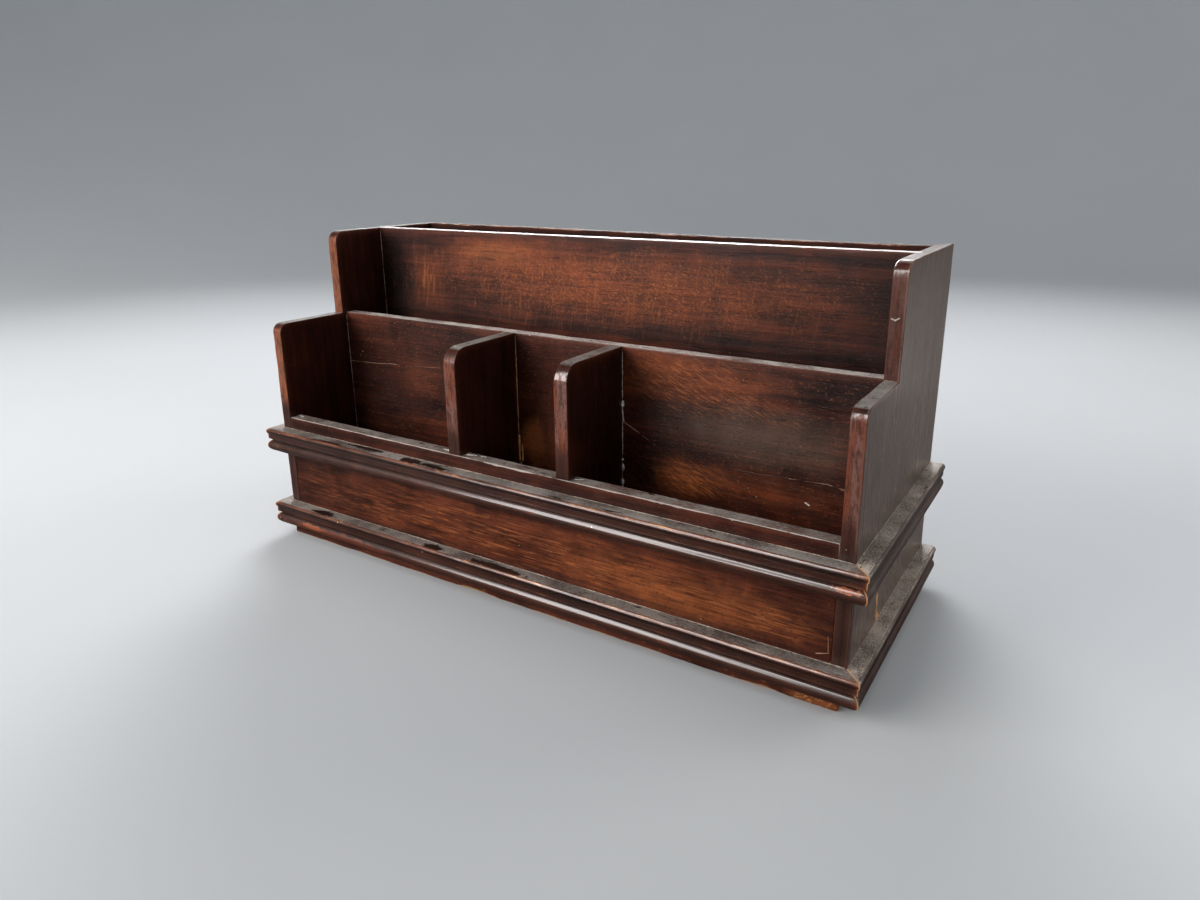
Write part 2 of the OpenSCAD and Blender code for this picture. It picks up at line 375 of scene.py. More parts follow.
def woodFinish(label, look):
    # look: grain turn, seed, tone, rubbed patches and patches of painted shade and sheen, strokes, worn edges, dust
    # with some painted sheen and marks of one piece
    material, tree, shader, place = newMaterial(label)
    along = stretch(tree, place, turned=look.get("grain", (0, 0, 0)))
    grain = useGroup(tree, woodGrain, Vector=along, Seed=look.get("seed", 0.0))
    bands, streaks, pores, mottle = (grain[name] for name in ("Bands", "Streaks", "Pores", "Mottle"))

    tone = plus(tree, times(tree, bands, 0.45), times(tree, streaks, 0.3))
    tone = plus(tree, tone, times(tree, mottle, 0.35))
    tone = times(tree, tone, look.get("tone", 0.6), clamp=True)
    ramp = tree.nodes.new("ShaderNodeValToRGB")
    plug(tree, ramp, 0, tone)
    stops = ramp.color_ramp.elements
    stops[0].color, stops[1].color = rgb(stainAndPaintedLight["black"]), rgb(stainAndPaintedLight["rubbed"])
    for at, name in ((0.34, "brown"), (0.66, "red")):
        stops.new(at).color = rgb(stainAndPaintedLight[name])
    colour = ramp.outputs[0]
    rough = plus(tree, look.get("rough", 0.36), times(tree, mottle, 0.12))
    height = times(tree, pores, -0.6)

    # places where the stain is rubbed through, and patches of painted shade and painted sheen
    for spot in look.get("patches", []):
        mask = placeMask(
            tree, place, spot, Power=spot.get("power", 2.0), Soft=spot["soft"],
            Ragged=spot.get("ragged", 0.5), Grain=spot.get("edgeGrain", 55.0))
        broken = plus(tree, spot["even"], times(tree, plus(tree, streaks, mottle), 0.5 * (1 - spot["even"])))
        mask = times(tree, times(tree, mask, broken), spot["strength"])
        colour = mixColour(tree, mask, colour, stainAndPaintedLight[spot["colour"]])
    # short bright strokes in the figure
    for run in look.get("strokes", []):
        mask = useGroup(tree, strokes, Vector=place, Turned=run["turned"], Scale=run["scale"], Cover=run["cover"])[0]
        if "at" in run:
            mask = times(tree, mask, placeMask(tree, place, run, Soft=0.9, Ragged=0.5))
        colour = mixColour(tree, times(tree, mask, run["strength"]), colour, stainAndPaintedLight[run["colour"]])
        height = plus(tree, height, times(tree, mask, 0.25))
    colour = mixColour(tree, times(tree, pores, 0.55), colour, stainAndPaintedLight["black"])

    # the narrow front faces of upright boards, rubbed by hands
    if "front" in look:
        front, level = look["front"], axesOf(tree, place)[2]
        mask = span(tree, facing(tree)[1], -0.78, -0.96)
        mask = times(tree, mask, span(tree, level, front["from"], front["from"] + 0.012))
        mask = times(tree, mask, span(tree, level, 0.154, 0.156, 1.0, front.get("above", 1.0)))
        rubbed = span(tree, cloud(tree, stretch(tree, place, (420, 420, 110)), 1.0, 5.0, 0.75), 0.38, 0.55, 0.2, 1.0)
        mask = times(tree, mask, rubbed)
        hand = span(tree, cloud(tree, stretch(tree, place, (260, 260, 24)), 1.0, 3.0, 0.6), 0.42, 0.58)
        hand = mixColour(tree, hand, stainAndPaintedLight["handPale"], stainAndPaintedLight["handRed"])
        hand = mixColour(tree, front.get("warm", 0.0), hand, stainAndPaintedLight["orange"])
        colour = mixColour(tree, times(tree, mask, front["strength"]), colour, hand)
        rough = minus(tree, rough, times(tree, mask, 0.08))

    # small flecks, some dark and some worn lighter
    colour = mixColour(
        tree, span(tree, cloud(tree, place, 620.0, 3.0, 0.65), 0.58, 0.68, 0.0, 0.5), colour, stainAndPaintedLight["black"])
    flecks = span(
        tree, cloud(tree, stretch(tree, place, shift=(2, 5, 1)), 760.0, 3.0, 0.65), 0.62, 0.70, 0.0,
        look.get("flecks", 0.28))
    colour = mixColour(tree, flecks, colour, stainAndPaintedLight["rubbed"])

    worn = useGroup(tree, edgeWear, Vector=place, Amount=look.get("wear", 0.5))
    line, rub = worn["Line"], worn["Rub"]
    for spot in look.get("calm", []):  # places where the arris kept its finish
        kept = minus(tree, 1.0, placeMask(tree, place, spot, Power=6.0, Soft=0.1, Ragged=0.0))
        line, rub = times(tree, line, kept), times(tree, rub, kept)
    # arris rub colour; on the mouldings it also paints the highlight line along the nose, and on the right runs a
    # sheen
    colour = mixColour(tree, times(tree, rub, look.get("rub", 0.5)), colour, stainAndPaintedLight[look.get("rubColour", "edge")])
    colour = mixColour(tree, times(tree, line, 0.85), colour, stainAndPaintedLight[look.get("lineColour", "pale")])
    rough = plus(tree, rough, times(tree, line, 0.2))

    for mark in look.get("lines", []):
        mask = useGroup(
            tree, fineLine, Vector=place, Start=mark["start"], End=mark["end"], Width=mark["width"],
            Gaps=mark["gaps"], Sway=mark.get("sway", (0.0016, 0.0, 0.0016)))[0]
        colour = mixColour(tree, times(tree, mask, mark["strength"]), colour, stainAndPaintedLight[mark["colour"]])
        height = minus(tree, height, times(tree, mask, 1.5))
    if look.get("dust", 0) > 0:
        amount = look["dust"]
        if look.get("bare"):
            amount = times(tree, minus(tree, 1.0, look["bare"](tree, place)), look["dust"])
        laid = useGroup(tree, topDust, Vector=along, Amount=amount)
        colour = mixColour(tree, times(tree, laid["Blots"], 0.8), colour, stainAndPaintedLight["black"])
        # dust colour; on the top edges of the cross boards and on the right mouldings it also paints a sheen
        colour = mixColour(tree, laid["Dust"], colour, stainAndPaintedLight[look.get("dustColour", "dust")])
        rough = mixValue(tree, laid["Dust"], rough, look.get("dustRough", 0.55))
        polish = cloud(tree, stretch(tree, along, (5, 800, 800), shift=(0, 3, 5)), 1.0, 3.0, 0.6)
        polish = span(tree, polish, 0.40, 0.58, 0.25, 1.0)
        coat = times(tree, polish, look.get("coat", 0.05))
        coat = mixValue(tree, times(tree, laid["Up"], 0.8), coat, 0.0)
        plug(tree, shader, "Coat Weight", coat)
    else:
        shader.inputs["Coat Weight"].default_value = look.get("coat", 0.05)
    if "mitre" in look:  # bare wood along the corner joint, where |x| + y is this
        axes = axesOf(tree, place)
        off = plus(tree, maths(tree, "ABSOLUTE", axes[0]), axes[1])
        off = maths(tree, "ABSOLUTE", minus(tree, off, look["mitre"]))
        patchy = span(tree, cloud(tree, place, 500.0, 2.0, 0.5), 0.36, 0.52, 0.25, 0.9)
        colour = mixColour(tree, times(tree, span(tree, off, 0.0006, 0.0003), patchy), colour, stainAndPaintedLight["bare"])
    for dots in look.get("specks", []):
        mask = useGroup(tree, specks, Vector=place, Scale=dots["scale"], Share=dots["share"], Size=dots["dot"])[0]
        if "at" in dots:
            mask = times(tree, mask, placeMask(tree, place, dots, Soft=0.4, Ragged=0.2))
        colour = mixColour(tree, mask, colour, stainAndPaintedLight["speck"])

    plug(tree, shader, "Base Color", colour)
    plug(tree, shader, "Roughness", times(tree, rough, 1.0, clamp=True))
    shader.inputs["Specular IOR Level"].default_value = look.get("specular", 0.12)
    shader.inputs["Coat Roughness"].default_value = look.get("coatRough", 0.2)
    uneven = bumped(tree, cloud(tree, place, 26.0, 2.0, 0.5), 0.35, 0.0012)
    fine = bumped(tree, plus(tree, height, times(tree, streaks, 0.35)), 0.55, 0.00022, uneven)
    plug(tree, shader, "Normal", fine)
    return material


# shapes
def pieceFrom(name, work):
    mesh = bpy.data.meshes.new(name)
    work.to_mesh(mesh)
    work.free()
    piece = bpy.data.objects.new(name, mesh)
    scene.collection.objects.link(piece)
    return piece


def pieceFromRings(name, work, rings):
    # faces between each ring and the next, and one face at both ends
    for one, two in zip(rings, rings[1:]):
        for i in range(len(one)):
            j = (i + 1) % len(one)
            work.faces.new((one[i], one[j], two[j], two[i]))
    for end in (rings[0], rings[-1]):
        work.faces.new(end)
    bmesh.ops.recalc_face_normals(work, faces=work.faces)
    return pieceFrom(name, work)


def roundedOutline(corners, inset=0.0, gap=0.006, bend=5):
    # corners are (a, b, radius) anticlockwise; the count of points is the same at every inset
    count, places, made = len(corners), [], []
    for i, (a, b, radius) in enumerate(corners):
        before, here, after = Vector(corners[i - 1][:2]), Vector((a, b)), Vector(corners[(i + 1) % count][:2])
        inward, outward = (here - before).normalized(), (after - here).normalized()
        sideIn, sideOut = Vector((-inward.y, inward.x)), Vector((-outward.y, outward.x))
        hollow = inward.cross(outward) < 0
        bisector = (sideIn + sideOut).normalized()
        moved = here + bisector * (inset / bisector.dot(sideIn))
        angle = inward.angle(outward)
        for key, size in (("at", radius + inset if hollow else max(radius - inset, 0.00004)), ("full", radius)):
            base = moved if key == "at" else here
            reach = size * math.tan(angle / 2)
            places.append((base, inward, outward, reach, size, hollow, angle))
    for i in range(count):
        base, inward, outward, reach, size, hollow, angle = places[2 * i]
        first = base - inward * reach
        side = Vector((-inward.y, inward.x)) * (-1 if hollow else 1)
        centre = first + side * size
        steps = bend if corners[i][2] > 0.003 else 2
        for k in range(steps + 1):
            spun = Matrix.Rotation((-1 if hollow else 1) * angle * k / steps, 2) @ (first - centre)
            made.append(centre + spun)
        nextOne = places[2 * ((i + 1) % count)]
        last, target = base + outward * reach, nextOne[0] - nextOne[1] * nextOne[3]
        full, nextFull = places[2 * i + 1], places[2 * ((i + 1) % count) + 1]
        fullRun = (nextFull[0] - full[0]).length - full[3] - nextFull[3]
        pieces = max(1, round(fullRun / gap))
        made += [last.lerp(target, k / pieces) for k in range(1, pieces)]
    return made


def plate(name, corners, axes, low, high, ease=0.0007, seed=0, bow=None):
    # a board cut to an outline, its arrises eased unevenly and rubbed by use
    rings = {d: roundedOutline(corners, d) for d in (0.0, 0.001, 0.0019, 0.0032, 0.005)}
    count, thick = len(rings[0.0]), high - low
    rand = random.Random(seed)
    nicks = [
        (rand.randrange(count), rand.uniform(0.5, 1.5), rand.choice((1, -1))) for _ in range(max(3, count // 12))]
    work = bmesh.new()
    layer = work.verts.layers.float.new("edgeWear")

    def easeAt(i, side):
        p = rings[0.0][i]
        size = 0.75 + 0.5 * noise.noise(Vector((p.x * 90, p.y * 90, seed + side * 3.3)))
        for at, deep, which in nicks:
            if which == side and abs(i - at) < 2:
                size += deep * (1 - abs(i - at) / 2)
        return ease * min(size, 2.2)

    def ringAt(values, level, wear):
        made = []
        for i in range(count):
            p, w = values(i), level(i)
            if bow:
                p = Vector((p.x, p.y - bow(p.x, p.y)))
            co = [0.0, 0.0, 0.0]
            co[axes[0]], co[axes[1]], co[axes[2]] = p.x, p.y, w
            made.append(work.verts.new(co))
            made[-1][layer] = wear(i)
        return made

    unit = [(rings[0.001][i] - rings[0.0][i]) / 0.001 for i in range(count)]
    loops = []
    for side, flat, sign in ((1, low, 1), (-1, high, -1)):
        group = []
        for inset, wear in ((0.005, 0.0), (0.0032, 0.12), (0.0019, 0.35)):
            group.append(ringAt(lambda i, d=inset: rings[d][i], lambda i, f=flat: f, lambda i, v=wear: v))
        for k in range(4):
            angle = math.radians(30 * k)
            group.append(ringAt(
                lambda i, s=side, a=angle: rings[0.0][i] + unit[i] * easeAt(i, s) * (1 - math.sin(a)),
                lambda i, s=side, a=angle, f=flat, g=sign: f + g * easeAt(i, s) * (1 - math.cos(a)),
                lambda i, s=side, k=k: (0.7, 1.0, 1.0, 0.7)[k] * min(1.0, 0.8 + 0.2 * easeAt(i, s) / ease)))
        loops += group if side == 1 else group[::-1]
    middle = ringAt(
        lambda i: rings[0.0][i] + unit[i] * 0.00006 * (1 + noise.noise(Vector((i * 0.3, seed, 0)))),
        lambda i: low + thick / 2, lambda i: 0.25)
    loops.insert(7, middle)
    return pieceFromRings(name, work, loops)


def smooth(piece, angle=40):
    mesh = piece.data
    mesh.polygons.foreach_set("use_smooth", [True] * len(mesh.polygons))
    mesh.set_sharp_from_angle(angle=math.radians(angle))
    weighted = piece.modifiers.new("weighted", "WEIGHTED_NORMAL")
    weighted.keep_sharp, weighted.weight = True, 60


def boxPiece(name, low, high):
    work = bmesh.new()
    bmesh.ops.create_cube(work, size=1)
    for v in work.verts:
        v.co = Vector([low[i] if v.co[i] < 0 else high[i] for i in range(3)])
    return pieceFrom(name, work)


def cutOut(piece, low, high):
    # a groove or rebate cut into a board
    tool = boxPiece("tool", low, high)
    cut = piece.modifiers.new("cut", "BOOLEAN")
    cut.operation, cut.solver, cut.object = "DIFFERENCE", "EXACT", tool
    with bpy.context.temp_override(object=piece, active_object=piece):
        bpy.ops.object.modifier_apply(modifier="cut")
    bpy.data.objects.remove(tool)


def settle(piece, node, material):
    piece.data.materials.append(material)
    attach(piece, "root")
    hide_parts(node)


def corner(x, y, radius=0.0006):
    return (x, y, radius)


def spotAt(at, size, strength, colour, even, soft, **more):
    return dict(at=at, size=size, strength=strength, colour=colour, even=even, soft=soft, **more)


def lineFrom(start, end, width, gaps, strength, colour, **more):
    return dict(start=start, end=end, width=width, gaps=gaps, strength=strength, colour=colour, **more)


markDeep = 0.02  # how far a mark reaches in


# marks on a board's front face, a row for each: where across and up, how large, and the look
def spotsOn(face, rows):
    # across, up, half width, half height, strength, colour, evenness, softness
    made = []
    for x, z, wide, high, strength, colour, even, soft, *more in rows:
        more = more[0] if more else {}
        made.append(spotAt((x, face, z), (wide, markDeep, high), strength, colour, even, soft, **more))
    return made


def strokesOn(face, rows):
    # lean in degrees, scale, cover, strength, colour, and where they keep to one place
    made = []
    for lean, scale, cover, strength, colour, *where in rows:
        run = {
            "turned": (0, math.radians(lean), 0), "scale": scale, "cover": cover, "strength": strength,
            "colour": colour}
        if where:
            x, z, wide, high = where
            run.update(at=(x, face, z), size=(wide, markDeep, high))
        made.append(run)
    return made


def linesOn(face, rows):
    # from across and up, to across and up, width, gaps, strength, colour
    return [lineFrom((x, face, z), (endX, face, endZ), *look) for x, z, endX, endZ, *look in rows]


def fewSpecks(share):
    return {"scale": 190.0, "share": share, "dot": 0.06}


# boards that run across
frontFace, middleFace, tallFace = (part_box(name)[0].y for name in ("front_board", "middle_board", "tall_board"))
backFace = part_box("back_board")[1].y
crossFinish = {
    "middle_board": {
        "seed": 3.1, "tone": 0.66, "wear": 0.5, "dust": 1.0,
        # its top edge: dust with a painted sheen, lighter to make up for the tall board's shade
        "dustColour": "midEdgeDustAndSheen", "rough": 0.38, "coat": 0.25,
        "patches": spotsOn(middleFace, [
            (0.09, 0.141, 0.055, 0.016, 0.85, "rubbed", 0.35, 0.9),
            (0.13, 0.113, 0.065, 0.018, 0.75, "film", 0.7, 0.9),
            (0.087, 0.08, 0.022, 0.012, 0.7, "amber", 0.1, 0.9),
            (0.125, 0.083, 0.06, 0.012, 0.5, "rubbed", 0.35, 0.9),
            (-0.145, 0.122, 0.05, 0.03, 0.6, "red", 0.35, 0.9),
            (-0.125, 0.112, 0.022, 0.013, 0.35, "rubbed", 0.35, 0.9),
            # painted shade, darker low in the left compartment
            (-0.165, 0.088, 0.04, 0.03, 0.4, "black", 0.6, 0.9),
            (0.0, 0.11, 0.036, 0.055, 0.9, "red", 0.7, 0.9),
            (-0.026, 0.082, 0.0095, 0.019, 1.0, "orange", 0.7, 0.8),
            (0.0, 0.085, 0.032, 0.03, 0.45, "rubbed", 0.5, 0.9),
        ]),
        "strokes": strokesOn(middleFace, [
            (-24, (110, 1000, 1000), 0.6, 0.42, "orange", 0.088, 0.137, 0.045, 0.02),
            (-24, (110, 1000, 1000), 0.5, 0.3, "orange", 0.135, 0.128, 0.03, 0.01),
            (-24, (130, 1100, 1100), 0.62, 0.7, "orange", 0.088, 0.08, 0.024, 0.013),
            (0, (420, 1100, 1100), 0.35, 0.25, "orange"),
            (0, (900, 900, 110), 0.5, 0.75, "orange", -0.026, 0.082, 0.0095, 0.02),
            (0, (900, 900, 70), 0.5, 0.4, "black", 0.0, 0.11, 0.04, 0.05),
        ]),
        "lines": linesOn(middleFace, [
            (-0.1985, 0.1178, -0.149, 0.1205, 0.00026, 0.0, 0.5, "pale"),
            (-0.149, 0.1205, -0.106, 0.1231, 0.0002, 0.1, 0.25, "pale"),
            (0.0439, 0.1079, 0.0657, 0.0969, 0.0003, 0.0, 0.75, "pale"),
            (0.0657, 0.0969, 0.0752, 0.0913, 0.00024, 0.0, 0.35, "black"),
            (0.121, 0.0915, 0.1716, 0.0931, 0.0003, 0.0, 0.5, "black"),
            (0.15, 0.0921, 0.1716, 0.0931, 0.0002, 0.2, 0.5, "pale"),
            (0.1716, 0.0931, 0.1966, 0.0896, 0.00024, 0.0, 0.55, "pale"),
            (0.16, 0.0799, 0.1621, 0.0788, 0.0004, 0.0, 1.0, "speck"),
        ]),
        "specks": [
            {
                "scale": 420.0, "share": 0.2, "dot": 0.3, "at": (-0.168, middleFace, 0.126),
                "size": (0.022, 0.02, 0.0035)},
            fewSpecks(0.05),
        ],
    },
    "tall_board": {
        # its top edge: dust with a painted sheen
        "seed": 7.4, "tone": 0.66, "wear": 0.5, "dust": 0.95, "dustColour": "topEdgeDustAndSheen", "rough": 0.42,
        "patches": spotsOn(tallFace, [
            (-0.072, 0.199, 0.062, 0.016, 0.8, "rubbed", 0.35, 0.9),
            (-0.085, 0.2, 0.03, 0.008, 0.5, "orange", 0.35, 0.9),
            (0.02, 0.184, 0.13, 0.022, 0.8, "rubbed", 0.35, 0.9),
            (-0.148, 0.178, 0.02, 0.022, 0.55, "rubbed", 0.35, 0.9),
            # painted shade at both ends, where the end boards shade the tall board
            (-0.187, 0.18, 0.022, 0.05, 0.9, "black", 0.9, 0.7),
            (0.19, 0.18, 0.028, 0.05, 0.75, "black", 0.8, 0.9),
            (0.13, 0.173, 0.018, 0.006, 0.7, "black", 0.8, 0.8),
        ]),
        "strokes": strokesOn(tallFace, [
            (-35, (420, 1100, 1100), 0.52, 0.5, "orange", 0.0, 0.183, 0.17, 0.026),
            (80, (60, 700, 700), 0.42, 0.3, "orange", -0.02, 0.18, 0.17, 0.03),
            (-8, (420, 420, 55), 0.5, 0.36, "orange", -0.15, 0.18, 0.024, 0.026),
        ]),
        "specks": [fewSpecks(0.06)],
    },
    "front_board": {
        # the lip's arris line: wear with a painted highlight, in the top edge colour
        "seed": 1.2, "tone": 0.6, "wear": 0.95, "lineColour": "topEdgeDustAndSheen", "dust": 0.9, "rough": 0.36,
        "patches": spotsOn(frontFace, [
            (-0.01, 0.043, 0.185, 0.017, 0.5, "rubbed", 0.15, 0.4, {"power": 5.0, "ragged": 0.35}),
            (-0.145, 0.046, 0.07, 0.02, 0.32, "black", 0.6, 0.9),
            (0.11, 0.038, 0.08, 0.014, 0.45, "orange", 0.3, 0.9),
        ]),
        "strokes": strokesOn(frontFace, [
            (0, (60, 950, 950), 0.55, 0.5, "orange", -0.01, 0.041, 0.19, 0.017),
            (0, (40, 700, 700), 0.5, 0.55, "black", 0.0, 0.043, 0.3, 0.04),
            (0, (60, 800, 800), 0.65, 0.45, "orange", 0.165, 0.036, 0.025, 0.009),
        ]),
        "lines": linesOn(frontFace, [
            (0.1895, 0.0277, 0.1955, 0.0295, 0.0003, 0.3, 0.6, "pale"),
            (0.1955, 0.0295, 0.1948, 0.0384, 0.00022, 0.3, 0.45, "pale"),
        ]),
        "calm": [{"at": (side * 0.197, frontFace, 0.0435), "size": (0.007, 0.012, 0.0195)} for side in (-1, 1)],
        "specks": [fewSpecks(0.05)],
    },
    "back_board": {
        "seed": 5.8, "tone": 0.46, "wear": 0.75, "rub": 0.45, "dust": 0.25,
        "dustRough": 0.9, "rough": 0.7, "specular": 0.1, "coat": 0.0,
        "patches": spotsOn(backFace, [
            (0.05, 0.12, 0.15, 0.06, 0.35, "red", 0.35, 0.9),
        ]),
        "specks": [fewSpecks(0.03)],
    },
}
backBow = {"deep": 1.5 * mm, "at": 0.12, "half": 0.16}


def bowDown(x, z):
    # the back board's top edge dips a little towards the right
    high = cadHigh.z
    level = max(0.0, min(1.0, (z - (high - 0.03)) / 0.03))
    return backBow["deep"] * math.exp(-((x - backBow["at"]) / backBow["half"]) ** 2) * level


for name, look in crossFinish.items():
    low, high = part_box(name)
    corners = [corner(low.x, low.z), corner(high.x, low.z), corner(high.x, high.z), corner(low.x, high.z)]
    piece = plate(
        name + "_wood", corners, (0, 2, 1), low.y, high.y, seed=len(name), bow=bowDown
        if name == "back_board" else None)
    smooth(piece)
    settle(piece, name, woodFinish(name + "Finish", look))
print("cross boards made")

# stepped end boards, their grain upright
upright, splinterSway = (0, math.radians(90), 0), (0.0, 0.001, 0.001)
endLook = {
    "stepRadius": 6.5 * mm, "topRadius": 8 * mm, "seam": 0.1 * mm, "stepBefore": 3.5 * mm,
    "finish": {
        "grain": upright, "seed": 2.2, "tone": 0.44, "wear": 0.6, "dust": 0.9, "dustColour": "endTop",
        "dustRough": 0.95, "rough": 0.4, "specular": 0.12, "coat": 1.0, "coatRough": 0.14,
        "front": {"from": 0.094, "strength": 0.85},
        "patches": [
            # painted sheen with some dust film on both outer faces, stronger on the right
            spotAt((0.206, 0.0, 0.11), (0.0022, 0.4, 0.4), 0.5, "outer", 0.6, 0.1, power=6.0, ragged=0.0),
            spotAt((-0.206, 0.0, 0.11), (0.0022, 0.4, 0.4), 0.22, "outer", 0.6, 0.1, power=6.0, ragged=0.0),
            # painted sheen, lighter high at the back of the right outer face
            spotAt((0.206, 0.05, 0.185), (0.003, 0.11, 0.07), 0.12, "sideDustAndSheen", 0.5, 0.9),
            spotAt((0.201, -0.0765, 0.0435), (0.012, 0.004, 0.021), 0.85, "black", 0.9, 0.2, power=6.0, ragged=0.1),
            spotAt((-0.201, -0.0765, 0.0435), (0.012, 0.004, 0.021), 0.6, "brown", 0.9, 0.2, power=6.0, ragged=0.3),
            spotAt((0.201, -0.0765, 0.078), (0.012, 0.004, 0.012), 0.85, "black", 0.8, 0.5),
        ],
        "strokes": strokesOn(frontFace, [(0, (900, 900, 60), 0.4, 0.3, "red")]),
        "lines": [
            lineFrom((0.205, -0.027, 0.04), (0.205, -0.024, 0.027), 0.0014, 0.0, 1.0, "bare", sway=splinterSway),
            lineFrom((0.205, -0.026, 0.031), (0.205, -0.0215, 0.0245), 0.0019, 0.0, 1.0, "bare", sway=splinterSway),
            lineFrom((0.1982, -0.0215, 0.1862), (0.2, -0.0215, 0.1855), 0.00035, 0.0, 0.55, "speck"),
            lineFrom((0.2, -0.0215, 0.1855), (0.2018, -0.0215, 0.1866), 0.00035, 0.0, 0.55, "speck"),
        ],
        "specks": [fewSpecks(0.02)],
    },
}
middleLow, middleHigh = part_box("middle_board")
stepY, stepZ = middleLow.y - endLook["stepBefore"], middleHigh.z
for side in ("left", "right"):
    node = side + "_end_board"
    low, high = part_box(node)
    corners = [
        corner(low.y, low.z), corner(high.y, low.z), corner(high.y, high.z),
        (stepY, high.z, endLook["topRadius"]), corner(stepY, stepZ, 0.0004), (low.y, stepZ, endLook["stepRadius"]),
    ]
    piece = plate(node + "_wood", corners, (1, 2, 0), low.x, high.x, seed=11 if side == "left" else 17)
    for board in ("middle_board", "tall_board", "back_board"):
        boardLow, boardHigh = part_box(board)
        gap = endLook["seam"]
        reach = (boardLow.x if side == "left" else low.x - 0.01, high.x + 0.01 if side == "left" else boardHigh.x)
        back = boardHigh.y + (0.01 if board == "back_board" else gap)
        top = boardHigh.z + (gap if board == "middle_board" else 0.01)
        cutOut(piece, (reach[0], boardLow.y - gap, low.z - 0.01), (reach[1], back, top))
    smooth(piece)
    finish = dict(endLook["finish"])
    if side == "right":
        finish["front"] = dict(finish["front"], above=0.4)  # the tall part was handled less
    else:
        finish["front"] = dict(finish["front"], warm=0.4)
    settle(piece, node, woodFinish(node + "Finish", finish))
print("end boards made")

# dividers, notched over the front board
dividerLook = {
    "radius": 10 * mm,
    "finish": {
        "grain": upright, "seed": 9.1, "tone": 0.38, "wear": 0.6, "dust": 0.9, "dustColour": "endTop",
        "coat": 1.0, "coatRough": 0.12, "rough": 0.38,
        "front": {"from": 0.1, "strength": 0.95},
        "strokes": strokesOn(frontFace, [(0, (900, 900, 60), 0.42, 0.4, "red")]),
        "specks": [fewSpecks(0.06)],
    },
}
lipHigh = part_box("front_board")[1]
for side in ("left", "right"):
    node = side + "_divider"
    low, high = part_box(node)
    corners = [
        corner(lipHigh.y, low.z), corner(high.y, low.z), corner(high.y, high.z, 0.0003),
        (low.y, high.z, dividerLook["radius"]), corner(low.y, lipHigh.z), corner(lipHigh.y, lipHigh.z, 0.0002),
    ]
    piece = plate(node + "_wood", corners, (1, 2, 0), low.x, high.x, seed=23 if side == "left" else 29)
    smooth(piece)
    settle(piece, node, woodFinish(node + "Finish", dividerLook["finish"]))
print("dividers made")

# mouldings: nose, face, quirk and bead, swept along each run
mouldLook = {
    "blots": [
        ((-0.118, -0.0790, 0.08), (0.016, 0.0022, 0.004), "black"),
        ((-0.076, -0.0812, 0.08), (0.010, 0.0032, 0.004), "black"),
        ((-0.054, -0.0817, 0.08), (0.012, 0.0026, 0.004), "black"),
        ((-0.150, -0.084, 0.08), (0.014, 0.0018, 0.004), "black"),
        ((-0.166, -0.0818, 0.024), (0.011, 0.0032, 0.003), "black"),
        ((-0.062, -0.0818, 0.024), (0.008, 0.003, 0.003), "black"),
        ((-0.008, -0.0822, 0.024), (0.022, 0.0030, 0.003), "black"),
        ((0.203, -0.087, 0.0697), (0.008, 0.006, 0.0016), "nose"),
        ((-0.15, -0.086, 0.010), (0.055, 0.004, 0.004), "red"),
        ((-0.175, -0.086, 0.012), (0.012, 0.004, 0.0018), "rubbed"),
    ],
    "nose": 2.2 * mm, "bead": 4.1 * mm, "beadUp": 4.2 * mm, "face": 8.2 * mm, "faceUp": 9.2 * mm, "quirk": 6.4 * mm,
    # the nose's rub colour is wear and a painted highlight line
    "finish": {
        "tone": 0.36, "wear": 0.68, "rub": 0.55, "rubColour": "nose", "lineColour": "bare", "dust": 1.0,
        "rough": 0.36, "coat": 1.0, "coatRough": 0.15, "specular": 0.2},
}


def mouldSection(out, tall):
    # (out from the board, up, how readily it wears; at the nose this also lays the painted highlight line)
    look, made = mouldLook, [(0.0, tall, 0.0), (2.2 * mm, tall, 0.0), (4.5 * mm, tall, 0.1)]
    noseX, noseY = out - look["nose"], tall - look["nose"]
    for k in range(9):
        angle = math.radians(90 - k * 140 / 8)
        made.append((
            noseX + look["nose"] * math.cos(angle), noseY + look["nose"] * math.sin(angle),
            math.exp(-((angle - 0.75) / 0.42) ** 2)))
    face, faceUp = look["face"], look["faceUp"]
    made += [
        (face, noseY - look["nose"] * 0.86, 0.1), (face, (faceUp + noseY) / 2 - 1 * mm, 0.1),
        (face, faceUp + 0.45 * mm, 0.35), (face - 0.13 * mm, faceUp + 0.13 * mm, 0.6),
        (face - 0.5 * mm, faceUp, 0.3), (look["quirk"], faceUp, 0.0)]
    beadX = out - look["bead"]
    for k in range(13):
        angle = math.radians(66 - k * 156 / 12)
        made.append((
            beadX + look["bead"] * math.cos(angle), look["beadUp"] + look["bead"] * math.sin(angle),
            0.22 * math.exp(-((angle - 0.2) / 0.7) ** 2)))
    made += [(beadX - 0.6 * mm, 0.0, 0.1), (0.0, 0.0, 0.0)]
    return made


